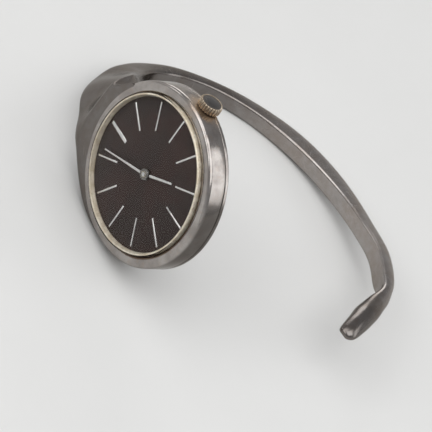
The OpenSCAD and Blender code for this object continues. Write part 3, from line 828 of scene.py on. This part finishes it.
def make_blued():
    """Blued steel: purple to blue with a straight grain."""
    f = Finish("blued_steel_fine")
    grain = f.noise(16.0, 3.0, 0.6, stretch=(1, 9, 1))
    clouds = f.noise(2.0, 3.0, 0.5)
    f.surface(
        Base_Color=f.blend(f.band(clouds, 0.35, 0.65), (0.030, 0.055, 0.22), (0.075, 0.045, 0.19)),
        Metallic=1.0,
        Roughness=0.2 + (grain - 0.5) * 0.12,
        Normal=f.bump(grain, 0.15, GRAIN),
    )
    return f.material


# ---------------------------------------------------------------- band
def station_between(i, u):
    """A station on the smooth curve through the stations, a share u past station i."""
    last = len(STATIONS) - 1
    rows = [STATIONS[max(0, min(last, i + k))] for k in (-1, 0, 1, 2)]
    return [
        b + (c - a) * u / 2 + (a - 2.5 * b + 2 * c - d / 2) * u * u
        + (1.5 * (b - c) + (d - a) / 2) * u ** 3
        for a, b, c, d in zip(*rows)
    ]


def band_section(row):
    """The band's D at one station: over its dome, then back along its flat."""
    angle, lift, edge_x, width, height, twist, fullness, lean = row
    a, t = math.radians(angle), math.radians(twist)
    on_oval = Vector((0, WRIST_A * math.sin(a), -WRIST_TOP - WRIST_B + WRIST_B * math.cos(a)))
    out = Vector((0, math.sin(a) / WRIST_A, math.cos(a) / WRIST_B)).normalized()
    along = Vector((math.cos(t), 0, 0)) + math.sin(t) * out
    up = math.cos(t) * out - Vector((math.sin(t), 0, 0))
    middle = on_oval + Vector((edge_x, 0, 0)) + lift * out - along * width / 2
    r = min(EDGE_R, 0.3 * height, 0.22 * width)
    outline = arc(width / 2 - r, r, r, -90, 0, EDGE_POINTS)[:-1]
    for j in range(DOME_POINTS + 1):
        s = math.pi * j / DOME_POINTS
        c, v = math.cos(s), math.sin(s)
        flat = math.copysign(abs(c) ** (2 / fullness), c) * width / 2
        outline.append((flat, r + abs(v) ** (2 / fullness) * (height - r)))
    outline += arc(r - width / 2, r, r, 180, 270, EDGE_POINTS)[1:]
    start = outline[0][0]
    outline += [(start * (1 - 2 * j / FLAT_POINTS), 0.0) for j in range(FLAT_POINTS - 1, 0, -1)]
    points = []
    for flat, high in outline:
        high += lean * (0.5 - flat / width) * (1 - high / height)
        points.append(middle + flat * along + high * up)
    return points


def eased(t):
    """0 to 1 with a soft start and end."""
    t = max(0.0, min(1.0, t))
    return t * t * (3 - 2 * t)


def blend_to_case(p):
    """At the case the band's top rises to the shoulder and its flat flares, as solder does."""
    near = eased((SOLDER_R - math.hypot(p.x, p.y)) / SOLDER_FADE)
    near *= eased((p.z - SOLDER_Z) / SOLDER_FADE_Z)
    rise = max(0.0, SHOULDER_Z - SOLDER_SUNK - p.z) * near
    past = max(0.0, min(1.0, (FLARE_Y - p.y) / FLARE_LEN))
    flare = FLARE * past ** FLARE_CURVE * eased((p.x - FLARE_X) / FLARE_FADE)
    return Vector((p.x + flare, p.y, p.z + rise))


def make_band(finish):
    """The band: sections are extruded one after the other, and the case is cut out of it."""
    last = len(STATIONS) - 2
    rows = [
        station_between(i, s / BAND_STEPS)
        for i in range(last + 1)
        for s in range(BAND_STEPS if i < last else NOSE_AFTER)
    ]
    sections = [[blend_to_case(p) for p in band_section(r)] for r in rows]
    for i in range(NOSE_STEPS + 1):
        share = i / NOSE_STEPS
        section = band_section(station_between(last, NOSE_START + NOSE_LEN * share))
        centre = sum(section, Vector()) / len(section)
        size = max(NOSE_LEAST, math.sqrt(1 - (NOSE_ROUND * share) ** 2))
        sections.append([centre + (p - centre) * size for p in section])
    piece = loop_of("band", sections[0])
    for section in sections[1:]:
        bpy.ops.mesh.extrude_region_move()
        mesh = bmesh.from_edit_mesh(piece.data)
        new = sorted((v for v in mesh.verts if v.select), key=lambda v: v.index)
        for v, p in zip(new, section):
            v.co = p
        bmesh.update_edit_mesh(piece.data)
    bpy.ops.mesh.edge_face_add()
    select_ring(piece, lambda v: v.index < len(sections[0]))
    bpy.ops.mesh.edge_face_add()
    close_mesh()
    tidy_mesh(piece)
    wall = arc(CASE_R - CORNER_R, SHOULDER_Z - CORNER_R, CORNER_R, 0, 90, 10)
    below, above = CUTTER_Z
    case = [(0, below), (CASE_R, below)] + wall + [(CASE_R - CORNER_R, above), (0, above)]
    cut(piece, turned("cutter", case))
    lay_down(piece, "case", finish, "bangle", 40)


# ---------------------------------------------------------------- case
def make_case(finish):
    """The case middle, from the back's seat over the lip, groove, wall and corner."""
    top, corner = SHOULDER_Z, CORNER_R
    low = MIDDLE_Z + LIP_H
    high = low + GROOVE_H
    profile = (
        [(BORE_R, MIDDLE_Z), (CASE_R - 1.2 * LOW_EDGE_R, MIDDLE_Z)]
        + arc(CASE_R - LOW_EDGE_R, MIDDLE_Z + LOW_EDGE_R, LOW_EDGE_R, -80, 0, 4)
        + arc(CASE_R - LIP_EDGE_R, low - LIP_EDGE_R, LIP_EDGE_R, 0, 80, 4)
        + [(CASE_R - GROOVE_IN, low), (CASE_R - GROOVE_IN, high)]
        + arc(CASE_R - GROOVE_EDGE_R, high + GROOVE_EDGE_R, GROOVE_EDGE_R, -80, 0, 4)
        + [(CASE_R, (low + top - corner) / 2)]
        + arc(CASE_R - corner, top - corner, corner, 0, 90, 14)
        + [(TOP_RING_R, top), (SEAT_R, top)]
        + arc(SEAT_R, top - SEAT_EDGE_R, SEAT_EDGE_R, 90, 150, 3)
        + [(CRYSTAL_R + 3 * SEAT_GAP, top - SEAT_H), (CRYSTAL_R + SEAT_GAP, 0.0), (BORE_R, 0.0)]
    )
    piece = turned("case_ring", profile, 256)
    lay_down(piece, "case", finish, "case_middle", 32)


def make_back(finish):
    """The case back: a flat, a bevel and a rim, with a notch at nine o'clock."""
    top, flat = MIDDLE_Z, BACK_FLAT_R
    profile = (
        [(0, BACK_Z), (flat - SCORE_IN - SCORE_HALF_W, BACK_Z)]
        + [(flat - SCORE_IN, BACK_Z + SCORE_DEPTH), (flat - SCORE_IN + SCORE_HALF_W, BACK_Z)]
        + [(flat - BACK_EDGE, BACK_Z), (flat + BACK_EDGE, BACK_Z + 0.6 * BACK_EDGE)]
        + [(BACK_R - inward, top - down) for inward, down in BACK_STEP]
        + [(BACK_R, top), (BACK_IN_R, top), (BACK_IN_R, top - BACK_INNER_STEP)]
        + [(flat + BACK_T, BACK_Z + BACK_T), (0, BACK_Z + BACK_T)]
    )
    piece = turned("back_cover", profile)
    cut(piece, block((-BACK_R, 0, top - NOTCH_DOWN), NOTCH))
    lay_down(piece, "case", finish, "case_back", 25)


def make_crystal(finish):
    """The crystal: a dome over a wall that stands round the gilt ring."""
    shares = [i / DOME_STEPS for i in range(DOME_STEPS + 1)]
    dome_r = CRYSTAL_R - CRYSTAL_EDGE_R
    outer = dome(CRYSTAL_TOP, RING_R, CRYSTAL_TOP - DOME_FOOT_Z, [dome_r * s for s in shares])
    edge_z = outer[-1][1]
    under = CRYSTAL_TOP - CRYSTAL_T
    inner = dome(under, RING_IN_R, under - RING_H, [RING_IN_R * s for s in shares[::-1]])
    wall_in = RING_R + RING_GAP
    profile = (
        outer
        + arc(dome_r, edge_z - CRYSTAL_EDGE_R, CRYSTAL_EDGE_R, 70, 0, 4)
        + [(CRYSTAL_R, 0.0), (wall_in, 0.0), (wall_in, RING_H + RING_GAP)]
        + inner
    )
    piece = turned("crystal_dome", profile)
    lay_down(piece, "case", finish, "crystal", 40)


def make_ring(finish):
    """The gilt ring: rounded on top and sloping in to the dial."""
    edge, in_edge = RING_EDGE_R, RING_IN_EDGE_R
    profile = (
        [(RING_IN_R + edge, 0.0), (RING_R, 0.0), (RING_R, RING_H - edge)]
        + arc(RING_R - edge, RING_H - edge, edge, 20, 90, 4)
        + arc(RING_IN_R + RING_SLOPE, RING_H - in_edge, in_edge, 90, 160, 6)
        + [(RING_IN_R + outward, high) for outward, high in RING_TOE]
    )
    piece = turned("gilt_ring", profile, 256)
    lay_down(piece, "case", finish, "tension_ring", 35)


# ---------------------------------------------------------------- dial and hands
def make_dial(finish):
    """The dial: a plate with a middle hole, on two feet."""
    profile = [
        (DIAL_HOLE_R, -DIAL_T),
        (DIAL_R, -DIAL_T),
        (DIAL_R, -DIAL_EDGE),
        (DIAL_R - DIAL_EDGE, 0.0),
        (DIAL_MIDDLE_R, 0.0),
        (DIAL_HOLE_R + DIAL_HOLE_EDGE, 0.0),
        (DIAL_HOLE_R, -DIAL_HOLE_EDGE),
    ]
    plate = turned("dial_plate", profile)
    feet = []
    depth = FOOT_L + FOOT_SUNK
    for angle in FOOT_ANGLES:
        a = math.radians(angle)
        deselect()
        bpy.ops.mesh.primitive_cylinder_add(
            vertices=32,
            radius=FOOT_R,
            depth=depth,
            location=(
                FOOT_AT_R * math.cos(a),
                FOOT_AT_R * math.sin(a),
                FOOT_SUNK - DIAL_T - depth / 2,
            ),
        )
        bpy.ops.object.transform_apply()
        feet.append(bpy.context.object)
        modifier(feet[-1], "BEVEL", width=FOOT_BEVEL, segments=2, limit_method="ANGLE")
    piece = join("dial_plate", [plate] + feet)
    lay_down(piece, "case", finish, "dial", 30)


def ridged_bar(y0, y1, w0, w1, z0, height, inset):
    """A bar along y, w0 wide at y0 and w1 at y1, flat on top with lower long edges."""
    bar = block((0, (y0 + y1) / 2, z0 + height / 2), (w0, y1 - y0, height))
    mesh = open_mesh(bar)
    for face in mesh.faces:
        face.select = face.normal.z > 0.9
    mesh.select_flush(True)
    bmesh.update_edit_mesh(bar.data)
    bpy.ops.mesh.inset(thickness=inset, depth=0.0)
    mesh = bmesh.from_edit_mesh(bar.data)
    for v in mesh.verts:
        width = w0 + (w1 - w0) * (v.co.y - y0) / (y1 - y0)
        v.co.x *= width / w0
        on_long_edge = abs(v.co.x) > 0.35 * width
        if on_long_edge and v.co.z > z0 + 0.5 * height:
            v.co.z = z0 + BAR_EDGE_H * height
    bmesh.update_edit_mesh(bar.data)
    close_mesh()
    modifier(
        bar,
        "BEVEL",
        width=BAR_BEVEL,
        segments=2,
        limit_method="ANGLE",
        angle_limit=math.radians(20),
    )
    return bar


def marker_bar(width):
    """One hour marker, at twelve."""
    inset = min(MARKER_INSET * width, MARKER_INSET_MOST)
    return ridged_bar(MARKER_IN, MARKER_OUT, width, width, 0.0, MARKER_H, inset)


def make_markers(finish):
    """Twelve markers, the one at twelve twice as wide."""
    plain = marker_bar(MARKER_W)
    bars = [copy_turned(plain, -30 * i) for i in range(1, 12)]
    bpy.data.objects.remove(plain)
    piece = join("dial_markers", [marker_bar(MARKER_12_W)] + bars)
    lay_down(piece, "case", finish, "hour_markers", 20)


def make_hand(name, length, widths, z0, bore, turn, finish, body, node):
    """A tapered hand with a low ridge, a round hub with a boss, and its bore."""
    blade = ridged_bar(0.6 * HUB_R, length, *widths, z0, HAND_T, HAND_INSET * widths[0])
    top, edge = z0 + HAND_T, HUB_EDGE_R
    profile = (
        [(bore, z0), (HUB_R - HUB_BEVEL, z0), (HUB_R, z0 + HUB_BEVEL), (HUB_R, top - HUB_STEP)]
        + arc(HUB_R - edge, top - HUB_STEP, edge, 10, 90, 3)
        + arc(BOSS_R + edge, top - edge, edge, 270, 180, 3)
        + arc(BOSS_R - edge, top - edge, edge, 0, 90, 3)
        + [(bore + HUB_BEVEL, top), (bore, top - HUB_BEVEL)]
    )
    piece = join(name, [blade, turned(name + "_hub", profile, 96)])
    piece.data.transform(Matrix.Rotation(math.radians(turn), 4, "Z"))
    lay_down(piece, body, finish, node, 20)


# ---------------------------------------------------------------- crown
def flute_radius(i, count):
    """The rim's radius at point i of count, where round flutes are cut into it."""
    middle = CROWN_R + FLUTE_OUT
    off = ((i + FLUTE_POINTS / 2) % FLUTE_POINTS - FLUTE_POINTS / 2) * 2 * math.pi / count
    inside = FLUTE_R ** 2 - (middle * math.sin(off)) ** 2
    if inside <= 0:
        return CROWN_R
    return min(CROWN_R, middle * math.cos(off) - math.sqrt(inside))


def make_crown(finish):
    """The crown: a fluted rim with a rounded edge, a plain raised face and a flat back."""
    count = FLUTES * FLUTE_POINTS
    rim = []
    for i in range(count):
        a = 2 * math.pi * i / count + math.pi / 2
        r = flute_radius(i, count)
        rim.append((CROWN_X, r * math.cos(a), STEM_Z + r * math.sin(a)))
    piece = loop_of("crown_cap", rim)
    for dx, scale, fade in CROWN_RINGS:
        bpy.ops.mesh.extrude_region_move(TRANSFORM_OT_translate={"value": (dx, 0, 0)})
        mesh = bmesh.from_edit_mesh(piece.data)
        for v in mesh.verts:
            if v.select:
                side = Vector((0, v.co.y, v.co.z - STEM_Z))
                length = side.length
                side *= (length + (CROWN_EVEN_R - length) * fade) * scale / length
                v.co.y, v.co.z = side.y, side.z + STEM_Z
        bmesh.update_edit_mesh(piece.data)
    bpy.ops.mesh.merge(type="CENTER")
    select_ring(piece, lambda v: abs(v.co.x - CROWN_X) < 1e-5)
    bpy.ops.mesh.edge_face_add()
    close_mesh()
    tidy_mesh(piece, 1e-5)
    lay_down(piece, "stem", finish, "crown", 38)


# ---------------------------------------------------------------- build
silver = make_silver()
case_silver = make_case_silver()
clear = make_clear()
gilt = make_gilt()
dial_paint = make_dial_paint()
bright = brushed("polished_bars", (0.74, 0.73, 0.715), (0.62, 0.61, 0.60), 0.16)
hand_bright = brushed("polished_hands", (0.72, 0.71, 0.695), (0.58, 0.57, 0.56), 0.18, hub=True)
crown_gilt = make_crown_metal()
back_steel = brushed("back_steel", (0.56, 0.55, 0.54), (0.45, 0.44, 0.43), 0.24)

make_band(silver)
make_case(case_silver)
make_back(back_steel)
make_crystal(clear)
make_ring(gilt)
make_dial(dial_paint)
make_markers(bright)
make_hand(
    "short_hand", HOUR_LEN, HOUR_W, HOUR_HAND_Z, HOUR_BORE, -0.5 * TIME_SHOWN,
    hand_bright, "hour", "hour_hand",
)
make_hand(
    "long_hand", MINUTE_LEN, MINUTE_W, MINUTE_HAND_Z, MINUTE_BORE, -6.0 * TIME_SHOWN,
    hand_bright, "minute", "minute_hand",
)
make_crown(crown_gilt)

# The solids that keep their own shape get the finish that their record names
FINISHES = {
    "silver": silver,
    "case_silver": case_silver,
    "crystal": clear,
    "ring_brass": gilt,
    "dial_paint": dial_paint,
    "marker_metal": bright,
    "hand_metal": hand_bright,
    "movement_brass": brushed("movement_gilt", (0.66, 0.50, 0.26), (0.52, 0.38, 0.18), 0.24),
    "movement_steel": brushed("movement_polish", (0.60, 0.605, 0.62), (0.47, 0.475, 0.49), 0.20),
    "movement_plate": striped_plate(),
    "ruby": make_ruby(),
    "blued_steel": make_blued(),
    "ring_plastic": moulded("nylon_white", (0.62, 0.62, 0.59), (0.55, 0.55, 0.52), 0.5),
    "rubber": moulded("gasket_black", (0.022, 0.022, 0.022), (0.035, 0.034, 0.033), 0.65),
}
for part in frame["record"]["subparts"]:
    for slot in frame["nodes"][part["node"]].material_slots:
        slot.material = FINISHES[part["material_slot"]]


# ---------------------------------------------------------------- floor, lamps, camera
def make_floor():
    """A plain pale floor at the lowest point of the solids."""
    f = Finish("pale_floor")
    fine = f.noise(0.05, 3.0)
    tint = f.blend(fine, (0.70, 0.70, 0.69), (0.74, 0.74, 0.73))
    f.surface(Base_Color=tint, Roughness=0.7, Normal=f.bump(fine, 0.05, 100 * GRAIN))
    deselect()
    bpy.ops.mesh.primitive_plane_add(size=FLOOR_SIZE, location=(0, 0, cad_box[0][2]))
    floor = bpy.context.object
    floor.name = "floor"
    floor.data.materials.append(f.material)


def make_world():
    """Pale where a camera, a mirror or glass looks, and a soft plain light elsewhere."""
    world = bpy.data.worlds.new("studio")
    bpy.context.scene.world = world
    t = Tree(world, "ShaderNodeOutputWorld")
    camera = t.node("ShaderNodeLightPath", out="Is Camera Ray")
    mirror = t.node("ShaderNodeLightPath", out="Is Glossy Ray")
    glass = t.node("ShaderNodeLightPath", out="Is Transmission Ray")
    seen = t.node(
        "ShaderNodeMath", {"operation": "ADD", "use_clamp": True}, {0: camera + mirror, 1: glass}
    )
    around = t.node("ShaderNodeTexCoord", out="Generated")
    height = t.node("ShaderNodeSeparateXYZ", {}, {0: around}, out="Z")
    stops = [(0.02, (0.64, 0.64, 0.64)), (0.5, (0.36, 0.36, 0.365))]
    paler = t.node("ShaderNodeValToRGB", {"stops": stops}, {0: height})
    paler.socket.node.color_ramp.interpolation = "EASE"
    soft = t.node("ShaderNodeBackground", {}, {"Color": (0.78, 0.78, 0.79), "Strength": 0.36})
    pale = t.node("ShaderNodeBackground", {}, {"Color": paler, "Strength": 1.0})
    t.show(t.node("ShaderNodeMixShader", {}, {0: seen, 1: soft, 2: pale}))


def make_lamp(name, towards, away_by, size, power, along):
    """A soft box, size[0] along one direction and size[1] across it, that faces the watch."""
    away = Vector(towards).normalized()
    across = Vector(along).cross(away).normalized()
    along = away.cross(across).normalized()
    lamp = bpy.data.lights.new(name, "AREA")
    lamp.shape = "RECTANGLE"
    lamp.size, lamp.size_y = size
    lamp.energy = power
    box = bpy.data.objects.new(name, lamp)
    bpy.context.scene.collection.objects.link(box)
    turn = Matrix((-along, across, away)).transposed()
    box.matrix_world = Matrix.Translation(away * away_by) @ turn.to_4x4()


def make_camera():
    """The camera stands where the photograph was taken from."""
    right, up = Vector(VIEW_RIGHT), Vector(VIEW_UP)
    back = right.cross(up).normalized()
    up = back.cross(right).normalized()
    right.normalize()
    at = VIEW_ACROSS * right - VIEW_DOWN * up + VIEW_DISTANCE * back
    turn = LAY_TURN.to_3x3() @ Matrix((right, up, back)).transposed()
    data = bpy.data.cameras.new("view")
    data.lens = VIEW_LENS
    data.sensor_width = VIEW_SENSOR
    data.clip_start = 0.01
    data.clip_end = 20
    camera = bpy.data.objects.new("view", data)
    bpy.context.scene.collection.objects.link(camera)
    camera.matrix_world = Matrix.Translation(LAY @ at) @ turn.to_4x4()
    bpy.context.scene.camera = camera


make_floor()
make_world()
for lamp_name, settings in LAMPS.items():
    make_lamp(lamp_name, *settings)
make_camera()
bpy.context.scene.view_settings.view_transform = "Standard"

bpy.context.view_layer.update()
